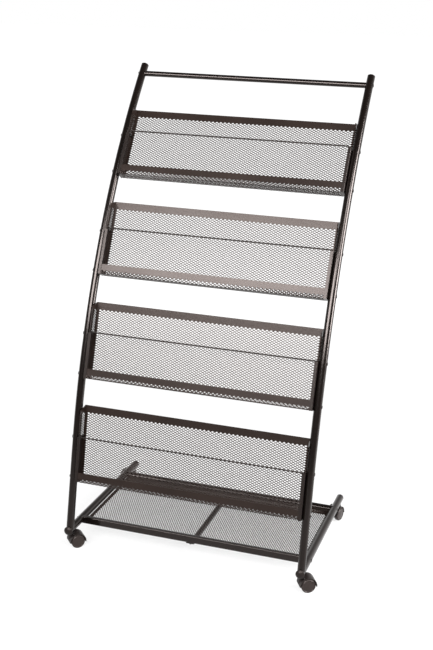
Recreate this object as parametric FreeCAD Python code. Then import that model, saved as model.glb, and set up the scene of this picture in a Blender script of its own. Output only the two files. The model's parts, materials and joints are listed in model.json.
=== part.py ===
"""Rolling periodical display rack: four sheet-and-mesh pockets between two curved tube uprights.

Millimetres, +Z up, +X to the right and -Y towards the reader. The origin lies on the floor
under the middle of the rack's overall footprint. Every node is one STEP file in parts/.
"""
import FreeCAD, Part
import math
import os
from FreeCAD import Placement, Rotation, Vector

# ---- tube frame ----
UPRIGHT_X = 341.0            # upright and foot axes, either side of the middle plane
TUBE_R = 11.0                # uprights, feet and rear cross tube are 22 mm tube
TUBE_WALL = 1.5
FOOT_Z = 57.0                # axis of the feet above the floor
FOOT_FRONT_Y = -275.7
FOOT_REAR_Y = 230.3
UPRIGHT_FOOT_Y = -264.7      # where the upright's axis meets the foot's axis
BASE_LEAN = 9.9              # degrees from vertical, over the straight lower run
STRAIGHT_RUN = 234.0
BEND_R = 2140.0              # the long backward bend above the straight run
UPRIGHT_LENGTH = 1404.0      # along the axis, from the foot's axis to the open top end
TOP_BAR_R = 8.0
TOP_BAR_DISTANCE = 1375.0    # along the upright's axis
REAR_TUBE_Y = 143.3
INSERT_DEPTH = 18.0          # solid inserts in the ends of the cross members
COPE_GAP = 0.05              # between a coped end and the round tube that it saddles
CAP_DEPTH = 9.0              # barrels of the plastic caps, inside the open tube ends
CAP_CLEARANCE = 0.3          # between a cap's barrel and the tube's bore
CAP_FLANGE = 2.0
CAP_RISE = 4.5               # height of a cap's dome above its flange
FRONT_CAP_PROUD = 1.8        # how far the front caps stand out beyond the feet, all round
FRONT_CAP_RISE = 6.0

# ---- bottom tray ----
RAIL_FRONT_Y = -197.7
RAIL_DEPTH = 13.0
RAIL_HEIGHT = 21.0
RAIL_WALL = 1.5
RAIL_CORNER_R = 2.5
TRAY_HALF_WIDTH = 322.0
TRAY_SIDE_HEIGHT = 17.0
TRAY_LIP_HEIGHT = 12.0
SUPPORT_R = 8.0              # middle support tube under the tray
SUPPORT_TAB = 2.6            # thickness of its two flattened ends
SUPPORT_TAB_WIDTH = 24.0
SUPPORT_TAPER = 26.0         # length over which the round tube is pressed flat

# ---- pockets ----
POCKET_COUNT = 4
POCKET_PITCH = 296.0         # along the uprights' axis
FIRST_ANCHOR = 175.5         # distance of the lowest pocket's anchor from the foot's axis
ANCHOR_HEIGHT = 30.0         # the anchor lies this far above the pocket's floor
POCKET_DEPTH = 39.0
POCKET_BEHIND_AXIS = 20.0    # from the upright's axis to the pocket's back face
BACK_HEIGHT = 218.0
FRONT_HEIGHT = 28.5
RETURN_DEPTH = 34.0          # side returns of the mesh back
PLATE_HEIGHT = 130.0
PLATE_FLANGE = 8.5
SHEET = 1.2
BEND_INNER_R = 1.5
WIRE_R = 2.0
WIRE_BEND_R = 9.0
WIRE_FORWARD = 2.9           # from the front of the side plates to the wire's axis
SCREW_HEIGHTS = (12.0, 127.0)  # above the pocket's floor

# ---- expanded mesh, set back from its solid margins ----
RIM_BAND = 19.5
LIP_BAND = 16.7
MESH_MARGIN = 6.0
MESH_SETBACK = 0.3

# ---- screws ----
SCREW_R = 2.5
SCREW_HEAD_R = 5.0
SCREW_HEAD_HEIGHT = 3.0
SCREW_HOLE_R = 2.6

# ---- twin-wheel casters ----
WHEEL_R = 20.0
WHEEL_WIDTH = 13.0
WHEEL_GAP = 6.0              # from the caster's middle plane to the inner face of a wheel
CASTER_TRAIL = 17.0
CASTER_INSET = 16.0          # from the end of the foot tube to the swivel axis
AXLE_R = 3.0
STEM_R = 4.0
RUNNING_FIT = 0.1            # radial clearance of the pivots
HOOD_INNER_R = 21.5
HOOD_SHELL = 2.5
HOOD_HALF_WIDTH = 18.0
HOOD_WEB = 10.0
HOOD_TOP_Z = 42.6
COLLAR_Z = 43.2              # underside of the stem's collar
CASTER_HEADINGS = {          # degrees, the way each wheel pair trails while the rack is parked
    "front_left": 42.0,
    "front_right": 30.0,
    "rear_left": 210.0,
    "rear_right": 255.0,
}

X_AXIS = Vector(1, 0, 0)
Y_AXIS = Vector(0, 1, 0)
Z_AXIS = Vector(0, 0, 1)


# ---- geometry helpers ----

def upright_point(distance):
    """Point (y, z) on the uprights' axis and its lean in degrees, at a distance along it."""
    lean = math.radians(BASE_LEAN)
    if distance <= STRAIGHT_RUN:
        y = UPRIGHT_FOOT_Y + distance * math.sin(lean)
        z = FOOT_Z + distance * math.cos(lean)
        return y, z, BASE_LEAN
    bend_y = UPRIGHT_FOOT_Y + STRAIGHT_RUN * math.sin(lean) + BEND_R * math.cos(lean)
    bend_z = FOOT_Z + STRAIGHT_RUN * math.cos(lean) - BEND_R * math.sin(lean)
    angle = lean + (distance - STRAIGHT_RUN) / BEND_R
    return bend_y - BEND_R * math.cos(angle), bend_z + BEND_R * math.sin(angle), math.degrees(angle)


def corner_arc(before, corner, after, radius):
    """Where an arc that rounds a corner starts and ends, its middle, centre, normal and turn."""
    arrive = (corner - before).normalize()
    leave = (after - corner).normalize()
    turn = arrive.getAngle(leave)
    setback = radius * math.tan(turn / 2)
    inward = (leave - arrive).normalize()
    centre = corner + inward * (radius / math.cos(turn / 2))
    return corner - arrive * setback, corner + leave * setback, centre - inward * radius, centre, turn


def rounded_path(points, radius):
    """Wire through the points, with an arc of the given radius at every inner one."""
    edges = []
    start = points[0]
    for before, corner, after in zip(points, points[1:], points[2:]):
        first, last, middle, _, _ = corner_arc(before, corner, after, radius)
        edges.append(Part.LineSegment(start, first).toShape())
        edges.append(Part.Arc(first, middle, last).toShape())
        start = last
    edges.append(Part.LineSegment(start, points[-1]).toShape())
    return Part.Wire(edges)


def bent_rod(points, bend_radius, radius):
    """Round bar through the points: straight cylinders joined by tangent bends."""
    pieces = []
    start = points[0]
    for before, corner, after in zip(points, points[1:], points[2:]):
        first, last, _, centre, turn = corner_arc(before, corner, after, bend_radius)
        arrive = (corner - before).normalize()
        normal = arrive.cross(after - corner).normalize()
        disc = Part.Face(Part.Wire(Part.Circle(first, arrive, radius).toShape()))
        pieces.append(rod(start, first, radius))
        pieces.append(disc.revolve(centre, normal, math.degrees(turn)))
        start = last
    if (points[-1] - start).Length > 0.001:
        pieces.append(rod(start, points[-1], radius))
    return pieces[0].multiFuse(pieces[1:]).removeSplitter()


def rod(start, end, radius):
    """Solid cylinder between two points."""
    return Part.makeCylinder(radius, (end - start).Length, start, end - start)


def pipe(start, end, radius, wall):
    """Straight tube between two points."""
    return rod(start, end, radius).cut(rod(start, end, radius - wall))


def box(x_range, y_range, z_range):
    """Box from three (low, high) ranges."""
    size = [high - low for low, high in (x_range, y_range, z_range)]
    return Part.makeBox(*size, Vector(x_range[0], y_range[0], z_range[0]))


def bent_sheet(profile, x_range, thickness=SHEET):
    """Sheet bent along a (y, z) profile and extruded in X; the thickness grows to its left side."""
    points = [Vector(x_range[0], y, z) for y, z in profile]
    path = rounded_path(points, BEND_INNER_R + thickness / 2)
    section = path.makeOffset2D(thickness / 2, 0, False, True)
    other = path.makeOffset2D(-thickness / 2, 0, False, True)
    face = Part.Face(close_strip(section, other))
    return face.extrude(Vector(x_range[1] - x_range[0], 0, 0))


def close_strip(one_side, other_side):
    """Closed wire of two parallel open wires and the two short lines between their ends."""
    a = one_side.OrderedVertexes[0].Point
    b = one_side.OrderedVertexes[-1].Point
    c = other_side.OrderedVertexes[0].Point
    d = other_side.OrderedVertexes[-1].Point
    if (a - c).Length > (a - d).Length:
        c, d = d, c
    ends = [Part.LineSegment(a, c).toShape(), Part.LineSegment(b, d).toShape()]
    return Part.Wire(Part.__sortEdges__(one_side.Edges + other_side.Edges + ends))


def revolve_profile(profile, axis=Y_AXIS):
    """Solid of revolution about Y through the origin, from (radius, y) points."""
    points = [Vector(radius, y, 0) for radius, y in profile]
    face = Part.Face(Part.makePolygon(points + points[:1]))
    return face.revolve(Vector(0, 0, 0), axis, 360)


# ---- frame ----

def upright_bar(side, radius):
    """Solid bar of the given radius along one upright's axis; side is -1 for left, 1 for right."""
    x = side * UPRIGHT_X
    top_y, top_z, _ = upright_point(UPRIGHT_LENGTH)
    lean = math.radians(BASE_LEAN)
    turn = (UPRIGHT_LENGTH - STRAIGHT_RUN) / BEND_R
    to_corner = STRAIGHT_RUN + BEND_R * math.tan(turn / 2)
    foot_end = foot_axis_point(side, UPRIGHT_FOOT_Y)
    corner = foot_end + Vector(0, math.sin(lean), math.cos(lean)) * to_corner
    return bent_rod([foot_end, corner, Vector(x, top_y, top_z)], BEND_R, radius)


def foot_axis_point(side, y):
    return Vector(side * UPRIGHT_X, y, FOOT_Z)


def foot_bar(side, radius=TUBE_R):
    return rod(foot_axis_point(side, FOOT_FRONT_Y), foot_axis_point(side, FOOT_REAR_Y), radius)


def drill(shape, places, radius=SCREW_HOLE_R):
    """Cut holes along X, right through, at each (y, z)."""
    reach = UPRIGHT_X + 2 * TUBE_R
    holes = [rod(Vector(-reach, y, z), Vector(reach, y, z), radius) for y, z in places]
    return shape.cut(holes)


def upright(side):
    """Bent tube, its lower end coped to saddle the foot tube, with holes for its screws."""
    bore = upright_bar(side, TUBE_R - TUBE_WALL)
    tube = upright_bar(side, TUBE_R).cut([bore, foot_bar(side, TUBE_R + COPE_GAP)])
    places = [upright_point(TOP_BAR_DISTANCE)[:2]]
    for index in range(POCKET_COUNT):
        places += pocket_screw_places(index)
    return drill(tube, places)


def foot(side):
    """Straight foot tube with holes for the caster stems and for the screws of the cross members."""
    tube = foot_bar(side).cut(foot_bar(side, TUBE_R - TUBE_WALL))
    for y in caster_stations():
        stem_top = foot_axis_point(side, y)
        tube = tube.cut(rod(stem_top - Z_AXIS * FOOT_Z, stem_top, STEM_R + RUNNING_FIT))
    return drill(tube, base_screw_places())


def domed_cap(radius=TUBE_R, rise=CAP_RISE):
    """Plastic cap along +Y: a domed head from y = 0 outwards and a barrel that sits in the tube."""
    bulge = (radius ** 2 + rise ** 2) / (2 * rise)
    barrel_radius = TUBE_R - TUBE_WALL - CAP_CLEARANCE
    head = Part.makeCylinder(radius, CAP_FLANGE, Vector(0, 0, 0), Y_AXIS)
    dome = Part.makeSphere(bulge, Vector(0, CAP_FLANGE + rise - bulge, 0), Y_AXIS)
    crown = Part.makeCylinder(radius, rise, Vector(0, CAP_FLANGE, 0), Y_AXIS).common(dome)
    barrel = Part.makeCylinder(barrel_radius, CAP_DEPTH, Vector(0, -CAP_DEPTH, 0), Y_AXIS)
    return head.fuse([crown, barrel]).removeSplitter()


def aim(shape, position, direction):
    """Turn a shape made along +Y to a direction and move its origin to a position."""
    placed = shape.copy()
    placed.Placement = Placement(position, Rotation(Y_AXIS, direction))
    return placed


def upright_cap(side):
    y, z, lean = upright_point(UPRIGHT_LENGTH)
    along = Vector(0, math.sin(math.radians(lean)), math.cos(math.radians(lean)))
    return aim(domed_cap(), Vector(side * UPRIGHT_X, y, z), along)


def front_foot_cap(side):
    """The front caps are larger and stand proud of the tube all round."""
    cap = domed_cap(TUBE_R + FRONT_CAP_PROUD, FRONT_CAP_RISE)
    return aim(cap, foot_axis_point(side, FOOT_FRONT_Y), Y_AXIS * -1)


def rear_foot_cap(side):
    return aim(domed_cap(), foot_axis_point(side, FOOT_REAR_Y), Y_AXIS)


def cross_tube(y, z, radius, side_bar):
    """Tube across the rack, coped to both side tubes, with a solid insert in each end."""
    tube = rod(Vector(-UPRIGHT_X, y, z), Vector(UPRIGHT_X, y, z), radius)
    hollow = UPRIGHT_X - TUBE_R - INSERT_DEPTH
    tube = tube.cut(rod(Vector(-hollow, y, z), Vector(hollow, y, z), radius - TUBE_WALL))
    tube = tube.cut([side_bar(-1, TUBE_R + COPE_GAP), side_bar(1, TUBE_R + COPE_GAP)])
    return drill(tube, [(y, z)])


def top_bar():
    y, z, _ = upright_point(TOP_BAR_DISTANCE)
    return cross_tube(y, z, TOP_BAR_R, upright_bar)


def rear_cross_tube():
    return cross_tube(REAR_TUBE_Y, FOOT_Z, TUBE_R, foot_bar)


# ---- bottom tray ----

def tray_floor_z():
    """Underside of the tray sheet, level with the underside of the feet and the front rail."""
    return FOOT_Z - TUBE_R


def front_rail():
    """Flat-faced rectangular tube coped to the feet, with softly rounded edges and solid inserts."""
    low = tray_floor_z()
    y_range = (RAIL_FRONT_Y, RAIL_FRONT_Y + RAIL_DEPTH)
    rail = box((-UPRIGHT_X, UPRIGHT_X), y_range, (low, low + RAIL_HEIGHT))
    long_edges = [edge for edge in rail.Edges if abs(edge.Length - 2 * UPRIGHT_X) < 0.001]
    rail = rail.makeFillet(RAIL_CORNER_R, long_edges)
    bore_y = (y_range[0] + RAIL_WALL, y_range[1] - RAIL_WALL)
    bore_z = (low + RAIL_WALL, low + RAIL_HEIGHT - RAIL_WALL)
    bore_reach = UPRIGHT_X - TUBE_R - INSERT_DEPTH
    rail = rail.cut(box((-bore_reach, bore_reach), bore_y, bore_z))
    rail = rail.cut([foot_bar(-1, TUBE_R + COPE_GAP), foot_bar(1, TUBE_R + COPE_GAP)])
    rail = rail.cut(support_screw_hole(rail_screw_y()))
    return drill(rail, base_screw_places()[:1])


def tray_mesh():
    """One expanded sheet: mesh floor, solid sides folded up, and lips at the rail and the rear tube."""
    low = tray_floor_z() + SHEET / 2
    front_y = RAIL_FRONT_Y + RAIL_DEPTH + SHEET / 2
    rear_y = REAR_TUBE_Y - TUBE_R - SHEET / 2
    profile = [(front_y, low + TRAY_LIP_HEIGHT), (front_y, low), (rear_y, low), (rear_y, low + TRAY_LIP_HEIGHT)]
    sheet = bent_sheet(profile, (-TRAY_HALF_WIDTH, TRAY_HALF_WIDTH))
    relief = BEND_INNER_R + SHEET
    y_range = (front_y + relief, rear_y - relief)
    z_range = (tray_floor_z(), tray_floor_z() + TRAY_SIDE_HEIGHT)
    for x in (-TRAY_HALF_WIDTH, TRAY_HALF_WIDTH - SHEET):
        sheet = sheet.fuse(box((x, x + SHEET), y_range, z_range))
    field = TRAY_HALF_WIDTH - MESH_MARGIN
    y_range = (front_y + MESH_MARGIN, rear_y - MESH_MARGIN)
    top = tray_floor_z() + SHEET
    return sheet.removeSplitter().cut(box((-field, field), y_range, (top - MESH_SETBACK, top)))


def tray_support():
    """Round tube along the middle under the tray, its ends pressed flat and tucked under the rails."""
    z = tray_floor_z() - SUPPORT_R
    front = RAIL_FRONT_Y + RAIL_DEPTH + SUPPORT_TAPER
    rear = REAR_TUBE_Y - TUBE_R - SUPPORT_TAPER
    tube = pipe(Vector(0, front, z), Vector(0, rear, z), SUPPORT_R, TUBE_WALL)
    front_end = pressed_end(front, -1, RAIL_FRONT_Y + 1.0)
    rear_end = pressed_end(rear, 1, REAR_TUBE_Y + 8.0)
    return tube.fuse([front_end, rear_end]).removeSplitter()


def pressed_end(start_y, direction, end_y):
    """Taper from the round tube to a flat tab that lies against the undersides of the rails."""
    round_z = tray_floor_z() - SUPPORT_R
    flat_z = tray_floor_z() - SUPPORT_TAB / 2
    flat_y = start_y + direction * SUPPORT_TAPER
    half = SUPPORT_TAB_WIDTH / 2
    circle = Part.Circle(Vector(0, start_y, round_z), Y_AXIS, SUPPORT_R)
    oval = Part.Ellipse(Vector(half, flat_y, flat_z), Vector(0, flat_y, flat_z + SUPPORT_TAB / 2),
                        Vector(0, flat_y, flat_z))
    taper = Part.makeLoft([Part.Wire(circle.toShape()), Part.Wire(oval.toShape())], True, True)
    tab_z = (tray_floor_z() - SUPPORT_TAB, tray_floor_z())
    tab = box((-half, half), sorted((flat_y, end_y)), tab_z)
    hole_y = rail_screw_y() if direction < 0 else REAR_TUBE_Y
    return taper.fuse(tab).cut(support_screw_hole(hole_y))


# ---- pockets ----
# Each pocket is made upright with its floor's back edge at the origin, X along the rack,
# -Y towards the reader, and is then leaned back and moved to its place on the uprights.

def pocket_place(index):
    """Placement of pocket number index, counted from the lowest."""
    y, z, lean = upright_point(FIRST_ANCHOR + index * POCKET_PITCH)
    angle = math.radians(lean)
    up = Vector(0, math.sin(angle), math.cos(angle))
    back = Vector(0, math.cos(angle), -math.sin(angle))
    corner = Vector(0, y, z) - up * ANCHOR_HEIGHT + back * POCKET_BEHIND_AXIS
    return Placement(corner, Rotation(X_AXIS, -lean))


def placed(shape, index):
    moved = shape.copy()
    moved.Placement = pocket_place(index)
    return moved


def basket():
    """Expanded sheet: solid lip strip, mesh front, floor and back, solid rim, and two side returns."""
    reach = UPRIGHT_X - TUBE_R - SHEET
    mid = SHEET / 2
    front_y = -(POCKET_DEPTH - SHEET) + mid
    profile = [(front_y, FRONT_HEIGHT), (front_y, mid), (-mid, mid), (-mid, BACK_HEIGHT)]
    sheet = bent_sheet(profile, (-reach, reach))
    relief = BEND_INNER_R + SHEET
    for x in (-reach, reach - SHEET):
        sheet = sheet.fuse(box((x, x + SHEET), (-RETURN_DEPTH, -mid), (relief, BACK_HEIGHT)))
    field = (MESH_MARGIN - reach, reach - MESH_MARGIN)
    back = box(field, (-MESH_SETBACK, 0), (relief, BACK_HEIGHT - RIM_BAND))
    front = box(field, (front_y - mid, front_y - mid + MESH_SETBACK), (relief, FRONT_HEIGHT - LIP_BAND))
    floor = box(field, (front_y + relief, -relief), (0, MESH_SETBACK))
    return sheet.removeSplitter().cut([back, front, floor])


def side_plate(side):
    """Solid end of a pocket, with a flange folded in across its front edge."""
    outer = UPRIGHT_X - TUBE_R
    inner = outer - SHEET
    plate = box((inner, outer), (-POCKET_DEPTH, 0), (0, PLATE_HEIGHT))
    flange = box((outer - PLATE_FLANGE, outer), (-POCKET_DEPTH, SHEET - POCKET_DEPTH), (0, PLATE_HEIGHT))
    bent = plate.fuse(flange).removeSplitter()
    corner = [edge for edge in bent.Edges if is_upright_edge(edge, outer, -POCKET_DEPTH)]
    bent = bent.makeFillet(SHEET, corner)
    return bent if side > 0 else bent.mirror(Vector(0, 0, 0), X_AXIS)


def is_upright_edge(edge, x, y):
    """True for a vertical edge that passes through (x, y)."""
    ends = [vertex.Point for vertex in edge.Vertexes]
    return all(abs(point.x - x) < 1e-6 and abs(point.y - y) < 1e-6 for point in ends)


def retaining_wire():
    """Wire bail across the pocket mouth; its arms lie inside the side returns, back to the mesh."""
    reach = UPRIGHT_X - TUBE_R - 2 * SHEET - WIRE_R
    z = PLATE_HEIGHT + WIRE_R
    front_y = -(POCKET_DEPTH + WIRE_FORWARD)
    outline = ((-reach, -SHEET), (-reach, front_y), (reach, front_y), (reach, -SHEET))
    return bent_rod([Vector(x, y, z) for x, y in outline], WIRE_BEND_R, WIRE_R)


# ---- screws ----

def pan_screw(tip, head_seat):
    """Screw from its tip to the seat of its bevelled pan head, which stands beyond the seat."""
    out = (head_seat - tip).normalize()
    rim = SCREW_HEAD_HEIGHT / 2
    head = Part.makeCylinder(SCREW_HEAD_R, rim, head_seat, out)
    bevel = Part.makeCone(SCREW_HEAD_R, SCREW_HEAD_R - rim, rim, head_seat + out * rim, out)
    return rod(tip, head_seat, SCREW_R).fuse([head, bevel]).removeSplitter()


def side_screws(y, z, tip_x):
    """A screw through each side tube at (y, z), with its head on the outside."""
    seat = UPRIGHT_X + TUBE_R
    return [pan_screw(Vector(side * tip_x, y, z), Vector(side * seat, y, z)) for side in (-1, 1)]


def pocket_screw_places(index):
    places = []
    for height in SCREW_HEIGHTS:
        distance = FIRST_ANCHOR + index * POCKET_PITCH + height - ANCHOR_HEIGHT
        places.append(upright_point(distance)[:2])
    return places


def pocket_screws(index):
    """Screws through the uprights into the side plates and the folded sides of the mesh."""
    tip_x = UPRIGHT_X - TUBE_R - 2 * SHEET - 1.5
    return [screw for y, z in pocket_screw_places(index) for screw in side_screws(y, z, tip_x)]


def rail_screw_y():
    return RAIL_FRONT_Y + RAIL_DEPTH / 2


def base_screw_places():
    return [(rail_screw_y(), FOOT_Z), (REAR_TUBE_Y, FOOT_Z)]


def end_screws(places):
    """Screws through the side tubes into the inserts of the cross members."""
    tip_x = UPRIGHT_X - TUBE_R - INSERT_DEPTH / 2
    return [screw for y, z in places for screw in side_screws(y, z, tip_x)]


def support_screw_hole(y):
    under = tray_floor_z() - SUPPORT_TAB
    return rod(Vector(0, y, under - 1.0), Vector(0, y, FOOT_Z), SCREW_HOLE_R)


def support_screws():
    """Screws from below that hold the flattened ends of the support tube."""
    under = tray_floor_z() - SUPPORT_TAB
    return [pan_screw(Vector(0, y, under + 8.0), Vector(0, y, under)) for y in (rail_screw_y(), REAR_TUBE_Y)]


# ---- casters ----
# Each caster is made with its swivel axis on Z, trailing along +X, standing on z = 0.

def caster_stations():
    return FOOT_FRONT_Y + CASTER_INSET, FOOT_REAR_Y - CASTER_INSET


def caster_stem():
    """Fixed steel stem with the collar that the foot tube rests on."""
    stem = Part.makeCylinder(STEM_R, FOOT_Z + 4 - 24.0, Vector(0, 0, 24.0))
    collar = Part.makeCylinder(STEM_R + 3.5, tray_floor_z() - COLLAR_Z, Vector(0, 0, COLLAR_Z))
    return stem.fuse(collar).removeSplitter()


def caster_hood():
    """Moulded hood: half-round shell over both wheels, middle web, and the swivel boss."""
    axle = Vector(CASTER_TRAIL, 0, WHEEL_R)
    width = 2 * HOOD_HALF_WIDTH
    low = axle - Y_AXIS * HOOD_HALF_WIDTH
    outer = Part.makeCylinder(HOOD_INNER_R + HOOD_SHELL, width, low, Y_AXIS)
    inner = Part.makeCylinder(HOOD_INNER_R, width, low, Y_AXIS)
    upper = box((-60, 60), (-30, 30), (WHEEL_R - 2.0, 60))
    shell = outer.cut(inner).common(upper)
    web_low = axle - Y_AXIS * HOOD_WEB / 2
    web = Part.makeCylinder(HOOD_INNER_R + 1.0, HOOD_WEB, web_low, Y_AXIS)
    web = web.common(box((-60, 60), (-30, 30), (WHEEL_R - 8.0, 60)))
    boss = Part.makeCylinder(STEM_R + 4.0, HOOD_TOP_Z - 20.0, Vector(0, 0, 20.0))
    boss = boss.cut(wheel_clearance())
    hood = shell.fuse([web, boss])
    hood = hood.cut(Part.makeCylinder(STEM_R + RUNNING_FIT, HOOD_TOP_Z, Vector(0, 0, 23.5)))
    hood = hood.cut(Part.makeCylinder(AXLE_R, width, low, Y_AXIS))
    return hood.removeSplitter()


def wheel_clearance():
    """Space that the two wheels sweep inside the hood."""
    rings = []
    for y in (-HOOD_HALF_WIDTH, WHEEL_GAP - 0.5):
        rings.append(Part.makeCylinder(HOOD_INNER_R, HOOD_HALF_WIDTH - WHEEL_GAP + 0.5,
                                       Vector(CASTER_TRAIL, y, WHEEL_R), Y_AXIS))
    return rings[0].fuse(rings[1])


def caster_axle():
    half = WHEEL_GAP + WHEEL_WIDTH - 4.0
    return rod(Vector(CASTER_TRAIL, -half, WHEEL_R), Vector(CASTER_TRAIL, half, WHEEL_R), AXLE_R)


def caster_wheel(side):
    """Moulded wheel with a crowned tread, a dished outer face and a blind axle bore."""
    inner = WHEEL_GAP
    outer = WHEEL_GAP + WHEEL_WIDTH
    bore = AXLE_R + RUNNING_FIT
    profile = [(bore, inner), (WHEEL_R - 1.5, inner), (WHEEL_R, inner + 2.0), (WHEEL_R, outer - 3.0),
               (WHEEL_R - 2.0, outer - 0.6), (WHEEL_R - 3.5, outer - 0.6), (WHEEL_R - 4.2, outer - 1.4),
               (9.0, outer - 0.8), (0.0, outer), (0.0, outer - 3.7), (bore, outer - 3.7)]
    wheel = revolve_profile(profile)
    if side < 0:
        wheel = wheel.mirror(Vector(0, 0, 0), Y_AXIS)
    return wheel.translated(Vector(CASTER_TRAIL, 0, WHEEL_R))


def caster_pieces():
    return {
        "stem": caster_stem(),
        "hood": caster_hood(),
        "axle": caster_axle(),
        "left_wheel": caster_wheel(1),
        "right_wheel": caster_wheel(-1),
    }


# ---- assembly ----

def build():
    """Name and shape of every node."""
    nodes = {}
    for name, side in (("left", -1), ("right", 1)):
        nodes[name + "_upright"] = upright(side)
        nodes[name + "_upright_cap"] = upright_cap(side)
        nodes[name + "_foot"] = foot(side)
        nodes[name + "_foot_front_cap"] = front_foot_cap(side)
        nodes[name + "_foot_rear_cap"] = rear_foot_cap(side)
    nodes["top_bar"] = top_bar()
    nodes["rear_cross_tube"] = rear_cross_tube().cut(support_screw_hole(REAR_TUBE_Y))
    nodes["tray_front_rail"] = front_rail()
    nodes["tray_mesh"] = tray_mesh()
    nodes["tray_support_tube"] = tray_support()
    nodes["tray_support_screws"] = Part.makeCompound(support_screws())
    nodes["top_bar_screws"] = Part.makeCompound(end_screws([upright_point(TOP_BAR_DISTANCE)[:2]]))
    nodes["base_screws"] = Part.makeCompound(end_screws(base_screw_places()))
    for index in range(POCKET_COUNT):
        label = "pocket_%d_" % (index + 1)
        holes = pocket_screw_places(index)
        nodes[label + "basket"] = drill(placed(basket(), index), holes)
        nodes[label + "left_plate"] = drill(placed(side_plate(-1), index), holes)
        nodes[label + "right_plate"] = drill(placed(side_plate(1), index), holes)
        nodes[label + "wire"] = placed(retaining_wire(), index)
        nodes[label + "screws"] = Part.makeCompound(pocket_screws(index))
    for corner, heading in CASTER_HEADINGS.items():
        side = -1 if corner.endswith("left") else 1
        y = caster_stations()[0 if corner.startswith("front") else 1]
        place = Placement(Vector(side * UPRIGHT_X, y, 0), Rotation(Z_AXIS, heading))
        for piece, shape in caster_pieces().items():
            shape = shape.copy()
            shape.Placement = place.multiply(shape.Placement)
            nodes["%s_caster_%s" % (corner, piece)] = shape
    return nodes


os.makedirs("parts", exist_ok=True)
for node, shape in build().items():
    shape.exportStep("parts/%s.step" % node)
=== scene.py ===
"""Looks of a rolling periodical display rack: expanded-metal pockets between two bent tube uprights.

Metres, +Z up, -Y towards the reader. The rack's lengths are written in millimetres and turned by MM,
and the studio's are in metres.
"""
import json
import math

import bpy
import numpy as np
from mathutils import Matrix, Vector


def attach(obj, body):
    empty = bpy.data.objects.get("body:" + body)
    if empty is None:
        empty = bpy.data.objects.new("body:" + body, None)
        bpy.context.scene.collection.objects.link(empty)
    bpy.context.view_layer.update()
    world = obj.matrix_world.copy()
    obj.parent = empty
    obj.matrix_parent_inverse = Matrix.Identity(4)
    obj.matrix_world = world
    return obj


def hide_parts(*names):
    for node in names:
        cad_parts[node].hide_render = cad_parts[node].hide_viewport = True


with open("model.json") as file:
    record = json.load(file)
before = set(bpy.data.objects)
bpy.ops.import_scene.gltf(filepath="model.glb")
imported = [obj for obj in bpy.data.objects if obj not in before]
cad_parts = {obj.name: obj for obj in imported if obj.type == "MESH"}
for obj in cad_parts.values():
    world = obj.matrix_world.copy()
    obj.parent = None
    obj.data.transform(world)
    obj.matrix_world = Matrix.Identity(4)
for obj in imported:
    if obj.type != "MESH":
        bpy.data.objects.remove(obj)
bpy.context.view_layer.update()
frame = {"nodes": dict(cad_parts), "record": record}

MM = 0.001

# ---- rack dimensions, in millimetres ----
UPRIGHT_X = 341.0
TUBE_R = 11.0
FOOT_Y, FOOT_Z = -264.7, 57.0    # where an upright's axis meets its foot's axis
BASE_LEAN = math.radians(9.9)
STRAIGHT_RUN = 234.0
BEND_R = 2140.0
POCKET_COUNT = 4
POCKET_PITCH = 296.0
FIRST_ANCHOR = 175.5
ANCHOR_HEIGHT = 30.0
POCKET_BEHIND_AXIS = 20.0
POCKET_DEPTH = 39.0
BACK_HEIGHT = 218.0
FRONT_HEIGHT = 28.5
RETURN_DEPTH = 34.0
SHEET = 1.2
BEND_INNER_R = 1.5
RIM_BAND = 19.5
LIP_BAND = 16.7
TRAY_FLOOR_Z = 46.6              # middle of the tray's sheet
TRAY_FRONT_Y = -184.1
TRAY_REAR_Y = 131.7
TRAY_HALF_WIDTH = 328.0
TRAY_LIP_HEIGHT = 12.0
TRAY_SIDE_HEIGHT = 8.0
TRAY_EDGE = 21.0                 # solid sheet at the tray's front and rear, lip and bend included
TRAY_SIDE_MARGIN = 4.0
POCKET_REACH = UPRIGHT_X - TUBE_R - SHEET    # from the middle plane to the outside of a return

# ---- screws, in millimetres ----
TOP_BAR_DISTANCE = 1375.0        # along the uprights' axis
RAIL_Y, REAR_TUBE_Y = -191.2, 143.3
INSERT_DEPTH = 18.0              # of the solid ends of the cross members
SCREW_HEIGHTS = (12.0, 127.0)    # above a pocket's floor
SCREW_PAST_RETURN = 1.5          # how far a pocket's screws stand out on the inside of its returns
SHANK_R, HEAD_R, RECESS_R = 2.5, 5.0, 1.6
SHANK_BEVEL, RECESS_TAPER = 0.6, 0.3
HEAD_HEIGHT, HEAD_EDGE = 2.1, 0.7
HEAD_SINK = 0.7                  # the head's flat underside lies this deep in the round tube
DOME_POINTS, SCREW_SIDES = 7, 24
SCREW_SMOOTH = 40.0              # degrees; edges that turn more stay sharp

# ---- expanded mesh, in millimetres; rows and columns are half pitches of the diamonds ----
STRAND_WIDTH = 1.6
STRAND_THICKNESS = 0.7
STRAND_TILT = 0.25               # how far the edges of a strand stand out of the middle plane
RETURN_TILT = 1.3
OPENING_BLUNT = 0.7              # cut off the acute ends of each opening
OPENING_LEAN = (-0.3, 0.3, 1.0, 0.3, -0.3, -1.0)    # share of the tilt at an opening's six corners
MESH_COLUMNS, LIP_ROWS, MESH_ROWS, RIM_ROWS = 110, 4, 70, 6
RETURN_COLUMNS, RETURN_FOOT_ROWS, RETURN_MESH_ROWS = 6, 2, 54
RETURN_FOOT = 6.0                # solid strip at the foot of each return
RETURN_TOP_DROP = 12.0           # the top of a return slopes down to its front corner by this much
TRAY_EDGE_COLUMNS, TRAY_COLUMNS, TRAY_MARGIN_ROWS, TRAY_ROWS = 4, 50, 2, 184

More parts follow.
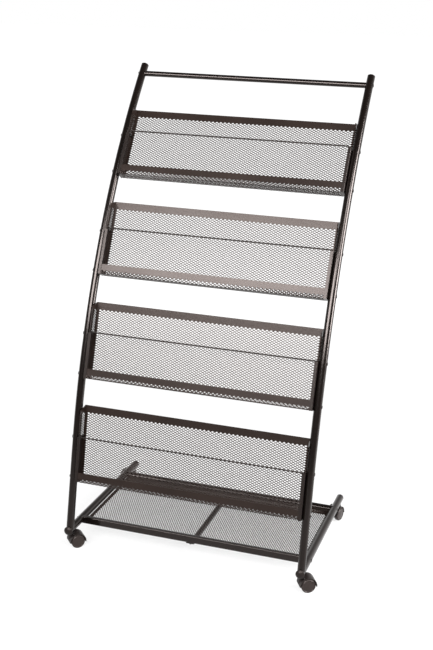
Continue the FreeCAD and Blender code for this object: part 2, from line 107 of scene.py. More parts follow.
# ---- view, in millimetres, radians and pixels of the frame ----
CAMERA_AT = (910.9, -2868.1, 1536.3)
CAMERA_AZIMUTH = math.radians(17.694)
CAMERA_DIP = math.radians(16.628)
CAMERA_ROLL = math.radians(1.789)
FOCAL_PIXELS = 1102.79
FRAME_HEIGHT_PIXELS = 650.0

# ---- studio, in metres; heights of the backdrop are sines of the elevation ----
WORLD_LEVEL = 0.35               # of the surroundings as a light source
BACKDROP_TOP, CEILING_FROM = 0.24, 0.60
CEILING_LEVEL = 0.15
FRONT_LEVEL = 0.12               # of the floor and of the room in front, as the rack mirrors them
ROOM_FRONT, ROOM_BACK = -0.4, 0.4      # y of the directions between which the mirrored room turns white
FLOOR_FRONT, FLOOR_BACK = -0.6, 0.2    # the same on the floor
FLOOR_REACH = 60.0
FLOOR_COLOUR, FLOOR_ROUGHNESS = 0.20, 0.9
FLOOR_GLOW = 0.76                # near the rack; at FLOOR_FAR the floor is as white as the backdrop
FLOOR_NEAR, FLOOR_FAR = 0.9, 3.0
LAMPS = (                        # name, place, aim, width and height, watts
    ("front_box", (-0.45, -2.95, 2.45), (0, 0, 0.8), (2.9, 1.2), 185),
    ("high_box", (1.5, -1.7, 2.85), (0.3, 0, 1.0), (1.3, 1.1), 50),
    ("right_box", (2.8, 0.0, 1.7), (0, 0, 0.9), (0.9, 2.0), 160),
)


# ---- materials -----------------------------------------------------------------------

WARM_SHINE = (1.0, 0.88, 0.84, 1.0)    # the dark brown paint mirrors a little warmly
CLOUD_SHARE, SPECK_SHARE = 0.6, 0.4    # of the coating's uneven colour and gloss
PATCHY_FROM, PATCHY_TO = 0.35, 0.65    # of the mixed noise, turned into the full change of colour
NOISE_MIDDLE = 0.5


def node(tree, kind, **values):
    """A new node with settings and socket values: socket names are written with underscores."""
    made = tree.nodes.new(kind)
    for key, value in values.items():
        if hasattr(made, key):
            setattr(made, key, value)
        else:
            made.inputs[key.replace("_", " ")].default_value = value
    return made


def coating_group():
    """Sprayed coating: fine orange-peel bump, cloudy colour variation and uneven gloss.

    Inputs: Colour, Shade (the cloudy variant), Peel Scale (bumps per metre), Peel Depth (metres),
    Gloss (middle roughness), Gloss Spread. Outputs: Colour, Roughness, Normal.
    """
    tree = bpy.data.node_groups.new("sprayed_coating", "ShaderNodeTree")
    for name, kind in (("Colour", "NodeSocketColor"), ("Shade", "NodeSocketColor"),
                       ("Peel Scale", "NodeSocketFloat"), ("Peel Depth", "NodeSocketFloat"),
                       ("Gloss", "NodeSocketFloat"), ("Gloss Spread", "NodeSocketFloat")):
        tree.interface.new_socket(name, in_out="INPUT", socket_type=kind)
    for name, kind in (("Colour", "NodeSocketColor"), ("Roughness", "NodeSocketFloat"),
                       ("Normal", "NodeSocketVector")):
        tree.interface.new_socket(name, in_out="OUTPUT", socket_type=kind)
    link = tree.links.new
    given = tree.nodes.new("NodeGroupInput")
    result = tree.nodes.new("NodeGroupOutput")
    place = tree.nodes.new("ShaderNodeTexCoord")
    cloud = node(tree, "ShaderNodeTexNoise", Scale=9.0, Detail=3.0, Roughness=0.55)
    speck = node(tree, "ShaderNodeTexNoise", Scale=420.0, Detail=2.0, Roughness=0.6)
    peel = node(tree, "ShaderNodeTexNoise", Detail=2.0, Roughness=0.5)
    for texture in (cloud, speck, peel):
        link(place.outputs["Object"], texture.inputs["Vector"])
    link(given.outputs["Peel Scale"], peel.inputs["Scale"])
    specks = node(tree, "ShaderNodeMath", operation="MULTIPLY")
    specks.inputs[1].default_value = SPECK_SHARE
    link(speck.outputs["Fac"], specks.inputs[0])
    mixed = node(tree, "ShaderNodeMath", operation="MULTIPLY_ADD")
    mixed.inputs[1].default_value = CLOUD_SHARE
    link(cloud.outputs["Fac"], mixed.inputs[0])
    link(specks.outputs[0], mixed.inputs[2])
    patches = node(tree, "ShaderNodeMapRange", From_Min=PATCHY_FROM, From_Max=PATCHY_TO)
    link(mixed.outputs[0], patches.inputs["Value"])
    colour = node(tree, "ShaderNodeMix", data_type="RGBA")
    link(patches.outputs[0], colour.inputs["Factor"])
    link(given.outputs["Colour"], colour.inputs["A"])
    link(given.outputs["Shade"], colour.inputs["B"])
    centred = node(tree, "ShaderNodeMath", operation="SUBTRACT")
    centred.inputs[1].default_value = NOISE_MIDDLE
    link(mixed.outputs[0], centred.inputs[0])
    rough = node(tree, "ShaderNodeMath", operation="MULTIPLY_ADD")
    link(centred.outputs[0], rough.inputs[0])
    link(given.outputs["Gloss Spread"], rough.inputs[1])
    link(given.outputs["Gloss"], rough.inputs[2])
    bump = node(tree, "ShaderNodeBump", Strength=1.0)
    link(given.outputs["Peel Depth"], bump.inputs["Distance"])
    link(peel.outputs["Fac"], bump.inputs["Height"])
    link(colour.outputs["Result"], result.inputs["Colour"])
    link(rough.outputs[0], result.inputs["Roughness"])
    link(bump.outputs["Normal"], result.inputs["Normal"])
    return tree


COATING = coating_group()


def coated(name, colour, shade, gloss, gloss_spread=0.15, peel_scale=700.0, peel_depth=0.00002,
           specular=0.35, metallic=0.0):
    """Material with the sprayed-coating group feeding a Principled shader."""
    material = bpy.data.materials.new(name)
    material.use_nodes = True
    tree = material.node_tree
    shader = tree.nodes["Principled BSDF"]
    surface = node(tree, "ShaderNodeGroup", node_tree=COATING)
    for socket, value in (("Colour", (*colour, 1)), ("Shade", (*shade, 1)), ("Peel Scale", peel_scale),
                          ("Peel Depth", peel_depth), ("Gloss", gloss), ("Gloss Spread", gloss_spread)):
        surface.inputs[socket].default_value = value
    tree.links.new(surface.outputs["Colour"], shader.inputs["Base Color"])
    tree.links.new(surface.outputs["Roughness"], shader.inputs["Roughness"])
    tree.links.new(surface.outputs["Normal"], shader.inputs["Normal"])
    shader.inputs["Specular IOR Level"].default_value = specular
    shader.inputs["Specular Tint"].default_value = WARM_SHINE
    shader.inputs["Metallic"].default_value = metallic
    return material


MATERIALS = {
    "frame_paint": coated("frame_paint", (0.0036, 0.0025, 0.0021), (0.0058, 0.0041, 0.0035), gloss=0.18,
                          gloss_spread=0.05, specular=0.5, peel_depth=0.000003),
    "mesh_paint": coated("mesh_paint", (0.0105, 0.0062, 0.0047), (0.0165, 0.0100, 0.0077), gloss=0.34,
                         specular=0.46),
    "plate_paint": coated("plate_paint", (0.0075, 0.0052, 0.0045), (0.0115, 0.0082, 0.0071), gloss=0.34,
                          specular=0.46),
    "wire_paint": coated("wire_paint", (0.009, 0.007, 0.0065), (0.014, 0.011, 0.010), gloss=0.3,
                         specular=0.25),
    "screw_paint": coated("screw_paint", (0.009, 0.007, 0.0065), (0.015, 0.012, 0.011), gloss=0.35,
                          specular=0.25),
    "cap_plastic": coated("cap_plastic", (0.010, 0.0075, 0.007), (0.016, 0.0125, 0.0115), gloss=0.4,
                          specular=0.25, peel_scale=1500.0),
    "hood_plastic": coated("hood_plastic", (0.012, 0.009, 0.0085), (0.018, 0.014, 0.013), gloss=0.42,
                           specular=0.3, peel_scale=1500.0),
    "wheel_plastic": coated("wheel_plastic", (0.017, 0.0125, 0.0115), (0.025, 0.019, 0.017), gloss=0.38,
                            specular=0.4, peel_scale=1200.0),
    "bright_steel": coated("bright_steel", (0.42, 0.42, 0.42), (0.55, 0.55, 0.55), gloss=0.3,
                           metallic=1.0, specular=0.5),
}


# ---- mesh tools ----------------------------------------------------------------------

BEND_STEPS = 16


def make_piece(name, shape, slot, stands_for, smooth_below=None):
    """Piece on the frame that stands for a CAD node, from a shape's points in millimetres and triangles.

    It is faceted, or smooth where smooth_below is given, apart from edges that turn by more degrees.
    """
    points, triangles = shape
    mesh = bpy.data.meshes.new(name)
    corners = np.asarray(triangles, np.int32)
    mesh.vertices.add(len(points))
    mesh.vertices.foreach_set("co", (np.asarray(points, float) * MM).astype(np.float32).ravel())
    mesh.loops.add(corners.size)
    mesh.loops.foreach_set("vertex_index", corners.ravel())
    mesh.polygons.add(len(corners))
    mesh.polygons.foreach_set("loop_start", np.arange(len(corners), dtype=np.int32) * 3)
    mesh.update(calc_edges=True)
    mesh.validate()
    if smooth_below is None:
        mesh.shade_flat()
    else:
        mesh.shade_smooth()
        mesh.set_sharp_from_angle(angle=math.radians(smooth_below))
    mesh.materials.append(MATERIALS[slot])
    piece = bpy.data.objects.new(name, mesh)
    bpy.context.scene.collection.objects.link(piece)
    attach(piece, "frame")
    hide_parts(stands_for)


def joined(shapes):
    """Several shapes, each of points and triangles, as one."""
    starts = np.cumsum([0] + [len(points) for points, _ in shapes])
    return (np.vstack([points for points, _ in shapes]),
            np.vstack([triangles + start for (_, triangles), start in zip(shapes, starts)]))


def grid_triangles(rows, columns, close_rows=False, close_columns=False):
    """Triangles of a grid of points numbered row by row, wrapped round where asked."""
    row = np.arange(rows if close_rows else rows - 1)[:, None]
    column = np.arange(columns if close_columns else columns - 1)[None, :]
    next_row, next_column = (row + 1) % rows, (column + 1) % columns
    a, b = row * columns + column, row * columns + next_column
    c, d = next_row * columns + next_column, next_row * columns + column
    return np.concatenate([np.stack([a, b, c], -1).reshape(-1, 3), np.stack([a, c, d], -1).reshape(-1, 3)])


def bent_line(points, radius):
    """A plane polyline with rounded corners, as (distance along it, points, left-hand normals).

    Every corner becomes an arc of the radius, sampled in BEND_STEPS equal steps of its turn, so that
    straight stretches and bends can both be read off by linear interpolation.
    """
    points = np.asarray(points, float)
    line, normal = [], []
    for k in range(len(points)):
        if 0 < k < len(points) - 1:
            arrive = points[k] - points[k - 1]
            leave = points[k + 1] - points[k]
            arrive, leave = arrive / np.hypot(*arrive), leave / np.hypot(*leave)
            turn = math.atan2(arrive[0] * leave[1] - arrive[1] * leave[0], arrive @ leave)
            side = np.array([-arrive[1], arrive[0]]) * math.copysign(1, turn)
            first = points[k] - arrive * radius * math.tan(abs(turn) / 2)
            angles = np.linspace(0, turn, BEND_STEPS + 1)
            cos, sin = np.cos(angles), np.sin(angles)
            ahead = np.stack([arrive[0] * cos - arrive[1] * sin, arrive[0] * sin + arrive[1] * cos], 1)
            left = np.stack([-ahead[:, 1], ahead[:, 0]], 1)
            line += list(first + side * radius - left * math.copysign(radius, turn))
            normal += list(left)
        else:
            towards = points[1] - points[0] if k == 0 else points[-1] - points[-2]
            towards = towards / np.hypot(*towards)
            line.append(points[k])
            normal.append([-towards[1], towards[0]])
    line, normal = np.array(line), np.array(normal)
    along = np.concatenate([[0], np.cumsum(np.hypot(*np.diff(line, axis=0).T))])
    return along, line, normal


def on_line(line, distance, out):
    """Points at distances along a bent_line, moved out along its normals."""
    along, points, normals = line
    place = [np.interp(distance, along, points[:, k]) + out * np.interp(distance, along, normals[:, k])
             for k in (0, 1)]
    return place[0], place[1]


def opening_corners(half_long, half_short):
    """Six corners of an opening, in half pitches about its middle.

    The opening is a rhombus with sides half a strand's width inside those of the tile, and its
    acute ends are cut off by OPENING_BLUNT.
    """
    slope = math.atan2(half_short, half_long)
    reach_u = 1 - STRAND_WIDTH / 2 / math.sin(slope) / half_long
    reach_v = 1 - STRAND_WIDTH / 2 / math.cos(slope) / half_short
    end_u = reach_u - OPENING_BLUNT / half_long
    end_v = reach_v * (1 - end_u / reach_u)
    return np.array([(end_u, -end_v), (end_u, end_v), (0, reach_v),
                     (-end_u, end_v), (-end_u, -end_v), (0, -reach_v)])


def tile_corners(i, j, number):
    """Numbers of the right, top, left and low corners of the tiles centred on grid points."""
    return number(i + 1, j), number(i, j + 1), number(i - 1, j), number(i, j - 1)


def open_tiles(corners, ring):
    """Triangles between the four corners of each tile and the six of its opening."""
    right, top, left, low = corners
    r0, r1, r2, r3, r4, r5 = ring
    return [(right, r1, r0), (right, top, r1), (top, r2, r1), (top, r3, r2), (top, left, r3),
            (left, r4, r3), (left, low, r4), (low, r5, r4), (low, r0, r5), (low, right, r0)]


def whole_tiles(corners):
    """Two triangles for each solid tile."""
    right, top, left, low = corners
    return [(right, top, left), (right, left, low)]


def border_tiles(columns, rows, number):
    """Tiles that the border cuts in half: one triangle for each, and its edge on the border."""
    i, j = np.arange(0, columns, 2), np.arange(0, rows, 2)
    low, high = np.zeros_like(i), np.full_like(i, rows)
    left, right = np.zeros_like(j), np.full_like(j, columns)
    halves = [(number(i, low), number(i + 2, low), number(i + 1, low + 1)),
              (number(i, high), number(i + 1, high - 1), number(i + 2, high)),
              (number(left, j), number(left + 1, j + 1), number(left, j + 2)),
              (number(right, j), number(right, j + 2), number(right - 1, j + 1))]
    edges = [(number(i, low), number(i + 2, low)),
             (number(i + 2, high), number(i, high)),
             (number(left, j + 2), number(left, j)),
             (number(right, j), number(right, j + 2))]
    return halves, edges


def closed_sheet(faces, edges, upper, lower):
    """Upper face, lower face and walls along the edges; points that nothing uses are left out."""
    above = np.concatenate([np.stack(face, -1) for face in faces])
    start, end = np.concatenate([np.stack(edge, -1) for edge in edges]).T
    under = len(upper)
    walls = np.concatenate([np.stack([end, start, start + under], -1),
                            np.stack([end, start + under, end + under], -1)])
    triangles = np.concatenate([above, above[:, ::-1] + under, walls])
    used, renumbered = np.unique(triangles, return_inverse=True)
    return np.vstack([upper, lower])[used], renumbered.reshape(-1, 3)


def expanded_sheet(columns, rows, is_open, to_flat, to_space, half_long, half_short, tilt):
    """Expanded metal with solid margins, as points and triangles.

    The sheet is a lattice of rhombic tiles on a grid of half pitches: tile (i, j), with i + j odd,
    has its corners at (i +- 1, j) and (i, j +- 1), where the strands cross. An open tile is a
    rhombus with a six-sided opening; a solid tile is whole; a tile centred on the border is cut in
    half by it. to_flat turns grid units into millimetres (u, v) on the flat sheet, and to_space
    bends (u, v, w), with w out of the sheet, into place. The crossings lie in the middle plane, and
    each strand leans between them: w is +tilt along an opening's upper side and -tilt along its
    lower side. columns and rows are even, so that the sheet's corners are corners of tiles.
    """
    def number(across, up):
        return across * (rows + 1) + up

    i, j = np.meshgrid(np.arange(columns + 1), np.arange(rows + 1), indexing="ij")
    inside = (i > 0) & (i < columns) & (j > 0) & (j < rows)
    middle = inside & ((i + j) % 2 == 1)
    opened = middle & is_open(i, j)
    solid = middle & ~opened

    opening = opening_corners(half_long, half_short)
    ring_start = i.size + len(opening) * np.arange(opened.sum())
    ring = [ring_start + k for k in range(len(opening))]
    halves, edges = border_tiles(columns, rows, number)
    faces = open_tiles(tile_corners(i[opened], j[opened], number), ring)
    faces += whole_tiles(tile_corners(i[solid], j[solid], number)) + halves
    edges += zip(ring[1:] + ring[:1], ring)

    crossings = np.stack([i, j], -1).reshape(-1, 2)
    rings = (np.stack([i[opened], j[opened]], -1)[:, None] + opening).reshape(-1, 2)
    u, v = to_flat(np.vstack([crossings, rings])).T
    w = np.concatenate([np.zeros(len(crossings)), np.tile(tilt * np.array(OPENING_LEAN), opened.sum())])
    half = STRAND_THICKNESS / 2
    return closed_sheet(faces, edges, to_space(u, v, w + half), to_space(u, v, w - half))


def flat_map(columns, widths, rows, heights):
    """Turns grid units into millimetres, with both scales linear between the given marks."""
    return lambda grid: np.stack([np.interp(grid[:, 0], columns, widths),
                                  np.interp(grid[:, 1], rows, heights)], -1)


def turned(profile, centre, axis, segments):
    """Solid of revolution about an axis through centre.

    The profile's (radius, along) points run from the low end of the axis to the high end, and both
    ends are closed by fans: point (k, i) = centre + r_i (cos a_k first + sin a_k second) + s_i axis.
    """
    axis = Vector(axis).normalized()
    first = axis.orthogonal().normalized()
    second = axis.cross(first)
    profile = np.asarray(profile, float)
    count = len(profile)
    angle = np.linspace(0, 2 * math.pi, segments, endpoint=False)
    spoke = np.cos(angle)[:, None] * np.array(first) + np.sin(angle)[:, None] * np.array(second)
    rings = (np.array(centre) + profile[None, :, 0, None] * spoke[:, None, :]
             + profile[None, :, 1, None] * np.array(axis))
    ends = np.array(centre) + profile[[0, -1], 1, None] * np.array(axis)
    here = np.arange(segments) * count
    following = np.roll(here, -1)
    last = count - 1
    low, high = np.full(segments, segments * count), np.full(segments, segments * count + 1)
    fans = [np.stack([low, following, here], -1), np.stack([high, here + last, following + last], -1)]
    walls = grid_triangles(segments, count, close_rows=True)[:, ::-1]
    return np.vstack([rings.reshape(-1, 3), ends]), np.concatenate([walls, *fans])


# ---- pockets -------------------------------------------------------------------------

def upright_point(distance):
    """y, z and lean of the uprights' axis at a distance along it from the foot's axis."""
    if distance <= STRAIGHT_RUN:
        return (FOOT_Y + distance * math.sin(BASE_LEAN), FOOT_Z + distance * math.cos(BASE_LEAN), BASE_LEAN)
    bend_y = FOOT_Y + STRAIGHT_RUN * math.sin(BASE_LEAN) + BEND_R * math.cos(BASE_LEAN)
    bend_z = FOOT_Z + STRAIGHT_RUN * math.cos(BASE_LEAN) - BEND_R * math.sin(BASE_LEAN)
    lean = BASE_LEAN + (distance - STRAIGHT_RUN) / BEND_R
    return bend_y - BEND_R * math.cos(lean), bend_z + BEND_R * math.sin(lean), lean


def pocket_to_rack(index, x, y, z):
    """Points of a pocket's own upright frame, leaned back and moved onto the uprights."""
    anchor_y, anchor_z, lean = upright_point(FIRST_ANCHOR + index * POCKET_PITCH)
    cos, sin = math.cos(lean), math.sin(lean)
    behind = y + POCKET_BEHIND_AXIS
    above = z - ANCHOR_HEIGHT
    return np.stack([x, anchor_y + above * sin + behind * cos, anchor_z + above * cos - behind * sin], -1)


def pocket_sheet(index):
    """One folded expanded sheet: front strip, floor and back, with its two side returns."""
    mid = SHEET / 2
    front_y = mid - (POCKET_DEPTH - SHEET)
    line = bent_line([(front_y, FRONT_HEIGHT), (front_y, mid), (-mid, mid), (-mid, BACK_HEIGHT)],
                     BEND_INNER_R + mid)
    length = line[0][-1]
    mesh_top = LIP_ROWS + MESH_ROWS
    rows = mesh_top + RIM_ROWS
    to_flat = flat_map((0, MESH_COLUMNS), (-POCKET_REACH, POCKET_REACH), (0, LIP_ROWS, mesh_top, rows),
                       (0, LIP_BAND, length - RIM_BAND, length))

    def to_space(u, v, w):
        y, z = on_line(line, v, w)
        return pocket_to_rack(index, u, y, z)

    def is_open(i, j):
        return (j > LIP_ROWS) & (j < mesh_top) & (i > 1) & (i < MESH_COLUMNS - 1)

    half_long = 2 * POCKET_REACH / MESH_COLUMNS
    half_short = (length - LIP_BAND - RIM_BAND) / MESH_ROWS
    folded = expanded_sheet(MESH_COLUMNS, rows, is_open, to_flat, to_space,
                            half_long, half_short, STRAND_TILT)
    return joined([folded, pocket_return(index, -1, half_short), pocket_return(index, 1, half_short)])


def pocket_return(index, side, half_short):
    """Side of a pocket's sheet, folded forward from the back, with a solid foot and rim."""
    mid = SHEET / 2
    low = BEND_INNER_R + SHEET
    depth = RETURN_DEPTH - mid
    mesh_top = RETURN_FOOT_ROWS + RETURN_MESH_ROWS
    rows = mesh_top + RIM_ROWS
    to_flat = flat_map((0, RETURN_COLUMNS), (0, depth), (0, RETURN_FOOT_ROWS, mesh_top, rows),
                       (low, low + RETURN_FOOT, BACK_HEIGHT - RIM_BAND, BACK_HEIGHT))

    def to_space(u, v, w):
        forward = u if side < 0 else depth - u
        cut = RETURN_TOP_DROP * forward / depth * np.clip((v - BACK_HEIGHT) / RIM_BAND + 1, 0, 1)
        return pocket_to_rack(index, side * (POCKET_REACH - mid + w), -mid - forward, v - cut)

    def is_open(i, j):
        return (j > RETURN_FOOT_ROWS) & (j < mesh_top) & (i > 0) & (i < RETURN_COLUMNS)

    return expanded_sheet(RETURN_COLUMNS, rows, is_open, to_flat, to_space,
                          depth / RETURN_COLUMNS, half_short, RETURN_TILT)


POCKETS = ["pocket_%d" % number for number in range(1, POCKET_COUNT + 1)]    # lowest first
for index, pocket in enumerate(POCKETS):
    make_piece(pocket + "_mesh", pocket_sheet(index), "mesh_paint", pocket + "_basket")


# ---- tray ----------------------------------------------------------------------------

def tray_sheet():
    """Expanded tray floor with solid lips folded up at the front and rear, and solid folded sides."""
    bend = BEND_INNER_R + SHEET / 2
    lip_top = TRAY_FLOOR_Z + TRAY_LIP_HEIGHT
    line = bent_line([(TRAY_FRONT_Y, lip_top), (TRAY_FRONT_Y, TRAY_FLOOR_Z),
                      (TRAY_REAR_Y, TRAY_FLOOR_Z), (TRAY_REAR_Y, lip_top)], bend)
    length = line[0][-1]
    last_column = TRAY_COLUMNS + TRAY_EDGE_COLUMNS
    last_row = TRAY_ROWS + TRAY_MARGIN_ROWS
    columns, rows = last_column + TRAY_EDGE_COLUMNS, last_row + TRAY_MARGIN_ROWS
    half = TRAY_HALF_WIDTH
    inside = half - TRAY_SIDE_MARGIN
    to_flat = flat_map((0, TRAY_EDGE_COLUMNS, last_column, columns),
                       (0, TRAY_EDGE, length - TRAY_EDGE, length),
                       (0, TRAY_MARGIN_ROWS, last_row, rows), (half, inside, -inside, -half))

    def to_space(u, v, w):
        y, z = on_line(line, u, w)
        return np.stack([v, y, z], -1)

    def is_open(i, j):
        return (i > TRAY_EDGE_COLUMNS) & (i < last_column) & (j > TRAY_MARGIN_ROWS) & (j < last_row)

    parts = [expanded_sheet(columns, rows, is_open, to_flat, to_space,
                            (length - 2 * TRAY_EDGE) / TRAY_COLUMNS, 2 * inside / TRAY_ROWS, STRAND_TILT)]
    relief = BEND_INNER_R + SHEET
    outer = half - SHEET / 2
    for side in (-1, 1):
        fold = bent_line([(side * (outer - TRAY_SIDE_MARGIN), TRAY_FLOOR_Z), (side * outer, TRAY_FLOOR_Z),
                          (side * outer, TRAY_FLOOR_Z - SHEET / 2 + TRAY_SIDE_HEIGHT)], bend)
        parts.append(folded_strip(fold, TRAY_FRONT_Y + relief, TRAY_REAR_Y - relief, side))
    return joined(parts)


def folded_strip(fold, y_start, y_end, side):
    """Solid sheet whose cross-section follows a bent_line in x and z, from y_start to y_end."""
    along = fold[0]
    loops = []
    for y in (y_start, y_end):
        top_x, top_z = on_line(fold, along, SHEET / 2)
        low_x, low_z = on_line(fold, along, -SHEET / 2)
        x = np.concatenate([top_x, low_x[::-1]])
        z = np.concatenate([top_z, low_z[::-1]])
        loops.append(np.stack([x, np.full(len(x), y), z], -1))
    count = len(along)
    ring = 2 * count
    walls = grid_triangles(2, ring, close_columns=True)
    a = np.arange(count - 1)
    b = ring - 1 - a
    cap = np.concatenate([np.stack([a, b, b - 1], -1), np.stack([a, b - 1, a + 1], -1)])
    triangles = np.concatenate([walls, cap, cap[:, ::-1] + ring])
    return np.vstack(loops), triangles if side < 0 else triangles[:, ::-1]


make_piece("tray_expanded_sheet", tray_sheet(), "mesh_paint", "tray_mesh")


# ---- screws in the side tubes --------------------------------------------------------

def domed_screw(side, y, z, tip_x):
    """Screw through a side tube: shank, low domed head that sinks into the tube, round drive recess."""
    sweep = np.linspace(0, math.acos(RECESS_R / HEAD_R), DOME_POINTS)
    dome = [(HEAD_R * math.cos(a), HEAD_EDGE + (HEAD_HEIGHT - HEAD_EDGE) * math.sin(a)) for a in sweep]
    seat = UPRIGHT_X + TUBE_R - HEAD_SINK
    tip = tip_x - seat
    profile = [(SHANK_R - SHANK_BEVEL, tip), (SHANK_R, tip + SHANK_BEVEL), (SHANK_R, 0), (HEAD_R, 0),
               *dome, (RECESS_R - RECESS_TAPER, HEAD_EDGE)]
    return turned(profile, (side * seat, y, z), (side, 0, 0), SCREW_SIDES)


def side_screws(name, places, tip_x):
    """The named node's screws, as one piece: through both side tubes at every (y, z) place."""
    shape = joined([domed_screw(side, y, z, tip_x) for y, z in places for side in (-1, 1)])
    make_piece(name.replace("screws", "domed_screws"), shape, "screw_paint", name, SCREW_SMOOTH)


plate_tip = UPRIGHT_X - TUBE_R - 2 * SHEET - SCREW_PAST_RETURN
insert_tip = UPRIGHT_X - TUBE_R - INSERT_DEPTH / 2
for index, pocket in enumerate(POCKETS):
    floor_distance = FIRST_ANCHOR + index * POCKET_PITCH - ANCHOR_HEIGHT
    places = [upright_point(floor_distance + height)[:2] for height in SCREW_HEIGHTS]
    side_screws(pocket + "_screws", places, plate_tip)
side_screws("top_bar_screws", [upright_point(TOP_BAR_DISTANCE)[:2]], insert_tip)
side_screws("base_screws", [(RAIL_Y, FOOT_Z), (REAR_TUBE_Y, FOOT_Z)], insert_tip)


# ---- finish of the CAD pieces that show as they are ----------------------------------

SLOTS = {row["node"]: row["material_slot"] for row in frame["record"]["subparts"]}
for name, part in frame["nodes"].items():
    part.data.materials.clear()
    part.data.materials.append(MATERIALS[SLOTS[name]])


# ---- camera, floor and light ---------------------------------------------------------

def aimed_camera():
    """Camera turned by azimuth, dip and roll; its focal length is given in pixels of the frame."""
    a, e, r = CAMERA_AZIMUTH, CAMERA_DIP, CAMERA_ROLL
    ahead = Vector((-math.sin(a) * math.cos(e), math.cos(a) * math.cos(e), -math.sin(e)))
    level = Vector((math.cos(a), math.sin(a), 0))
    above = level.cross(ahead)
    right = math.cos(r) * level + math.sin(r) * above
    up = math.cos(r) * above - math.sin(r) * level
    data = bpy.data.cameras.new("view")
    data.sensor_fit = "VERTICAL"
    data.sensor_height = 24.0
    data.lens = data.sensor_height * FOCAL_PIXELS / FRAME_HEIGHT_PIXELS
    data.clip_end = 50.0
    camera = bpy.data.objects.new("view", data)
    turn = Matrix((right, up, -ahead)).transposed()
    camera.matrix_world = Matrix.Translation(Vector(CAMERA_AT) * MM) @ turn.to_4x4()
    bpy.context.scene.collection.objects.link(camera)
    bpy.context.scene.camera = camera


def soft_box(name, place, aim, size, watts):
    """Rectangular area lamp at a place, turned to face its aim."""
    data = bpy.data.lights.new(name, "AREA")
    data.shape = "RECTANGLE"
    data.size, data.size_y = size
    data.energy = watts
    lamp = bpy.data.objects.new(name, data)
    lamp.visible_camera = False
    lamp.location = place
    lamp.rotation_euler = (Vector(aim) - Vector(place)).to_track_quat("-Z", "Y").to_euler()
    bpy.context.scene.collection.objects.link(lamp)


def ray_kinds(tree):
    """Two sockets: 1 for camera, glossy and transmission rays, and 1 for glossy rays alone."""
    path = tree.nodes.new("ShaderNodeLightPath")
    first = node(tree, "ShaderNodeMath", operation="MAXIMUM")
    tree.links.new(path.outputs["Is Camera Ray"], first.inputs[0])
    tree.links.new(path.outputs["Is Glossy Ray"], first.inputs[1])
    second = node(tree, "ShaderNodeMath", operation="MAXIMUM")
    tree.links.new(first.outputs[0], second.inputs[0])
    tree.links.new(path.outputs["Is Transmission Ray"], second.inputs[1])
    return second.outputs[0], path.outputs["Is Glossy Ray"]


def either(tree, mirrored, reflected, plain=None):
    """One level for glossy rays and another for all others, which is 1 unless it is given."""
    chosen = node(tree, "ShaderNodeMapRange", To_Min=1.0)
    tree.links.new(mirrored, chosen.inputs["Value"])
    tree.links.new(reflected, chosen.inputs["To Max"])
    if plain:
        tree.links.new(plain, chosen.inputs["To Min"])
    return chosen.outputs[0]


def white_world():
    """White backdrop, darker in reflections high up and in front; as a light it is dim all round."""
    world = bpy.data.worlds.new("studio")
    world.use_nodes = True
    tree = world.node_tree
    background = tree.nodes["Background"]
    background.inputs["Color"].default_value = (1, 1, 1, 1)
    direction = tree.nodes.new("ShaderNodeTexCoord")
    split = tree.nodes.new("ShaderNodeSeparateXYZ")
    height = node(tree, "ShaderNodeMapRange", From_Min=BACKDROP_TOP, From_Max=CEILING_FROM,
                  To_Min=1.0, To_Max=CEILING_LEVEL)
    front = node(tree, "ShaderNodeMapRange", From_Min=ROOM_FRONT, From_Max=ROOM_BACK,
                 To_Min=FRONT_LEVEL, To_Max=1.0)
    level = node(tree, "ShaderNodeMath", operation="MULTIPLY")
    strength = node(tree, "ShaderNodeMapRange", To_Min=WORLD_LEVEL)
    seen, mirrored = ray_kinds(tree)
    tree.links.new(direction.outputs["Generated"], split.inputs[0])
    tree.links.new(split.outputs["Z"], height.inputs["Value"])
    tree.links.new(split.outputs["Y"], front.inputs["Value"])
    tree.links.new(height.outputs[0], level.inputs[0])
    tree.links.new(front.outputs[0], level.inputs[1])
    tree.links.new(seen, strength.inputs["Value"])
    tree.links.new(either(tree, mirrored, level.outputs[0]), strength.inputs["To Max"])
    tree.links.new(strength.outputs[0], background.inputs["Strength"])
    bpy.context.scene.world = world


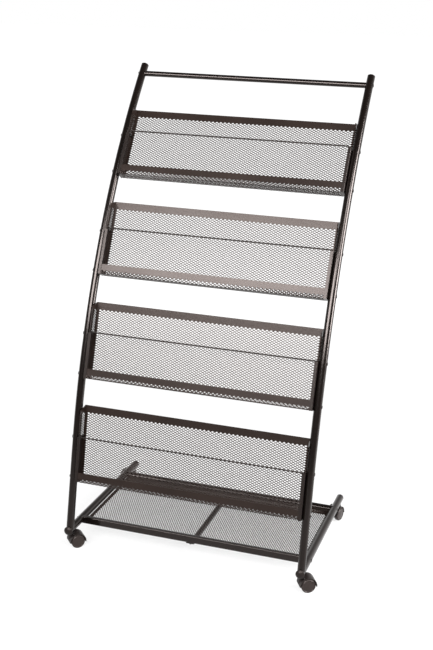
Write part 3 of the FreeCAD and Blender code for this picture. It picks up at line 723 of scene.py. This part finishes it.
def pale_floor():
    """Wide pale floor at z = 0: near the rack it keeps the shadow, far off it fades into the backdrop."""
    mesh = bpy.data.meshes.new("floor")
    reach = FLOOR_REACH
    mesh.from_pydata([(-reach, -reach, 0), (reach, -reach, 0), (reach, reach, 0), (-reach, reach, 0)],
                     [], [(0, 1, 2, 3)])
    floor = bpy.data.objects.new("floor", mesh)
    bpy.context.scene.collection.objects.link(floor)
    material = bpy.data.materials.new("floor_paper")
    material.use_nodes = True
    tree = material.node_tree
    shader = tree.nodes["Principled BSDF"]
    shader.inputs["Base Color"].default_value = (FLOOR_COLOUR, FLOOR_COLOUR, FLOOR_COLOUR, 1)
    shader.inputs["Roughness"].default_value = FLOOR_ROUGHNESS
    shader.inputs["Specular IOR Level"].default_value = 0.0
    shader.inputs["Emission Color"].default_value = (1, 1, 1, 1)
    place = tree.nodes.new("ShaderNodeTexCoord")
    distance = node(tree, "ShaderNodeVectorMath", operation="LENGTH")
    level = node(tree, "ShaderNodeMapRange", interpolation_type="SMOOTHSTEP", From_Min=FLOOR_NEAR,
                 From_Max=FLOOR_FAR, To_Min=FLOOR_GLOW, To_Max=1.0)
    split = tree.nodes.new("ShaderNodeSeparateXYZ")
    front = node(tree, "ShaderNodeMapRange", From_Min=FLOOR_FRONT, From_Max=FLOOR_BACK,
                 To_Min=FRONT_LEVEL, To_Max=1.0)
    glow = node(tree, "ShaderNodeMath", operation="MULTIPLY")
    seen, mirrored = ray_kinds(tree)
    tree.links.new(place.outputs["Object"], distance.inputs[0])
    tree.links.new(place.outputs["Object"], split.inputs[0])
    tree.links.new(distance.outputs["Value"], level.inputs["Value"])
    tree.links.new(split.outputs["Y"], front.inputs["Value"])
    tree.links.new(seen, glow.inputs[0])
    tree.links.new(either(tree, mirrored, front.outputs[0], level.outputs[0]), glow.inputs[1])
    tree.links.new(glow.outputs[0], shader.inputs["Emission Strength"])
    mesh.materials.append(material)


aimed_camera()
white_world()
pale_floor()
for lamp in LAMPS:
    soft_box(*lamp)
bpy.context.scene.view_settings.view_transform = "Standard"
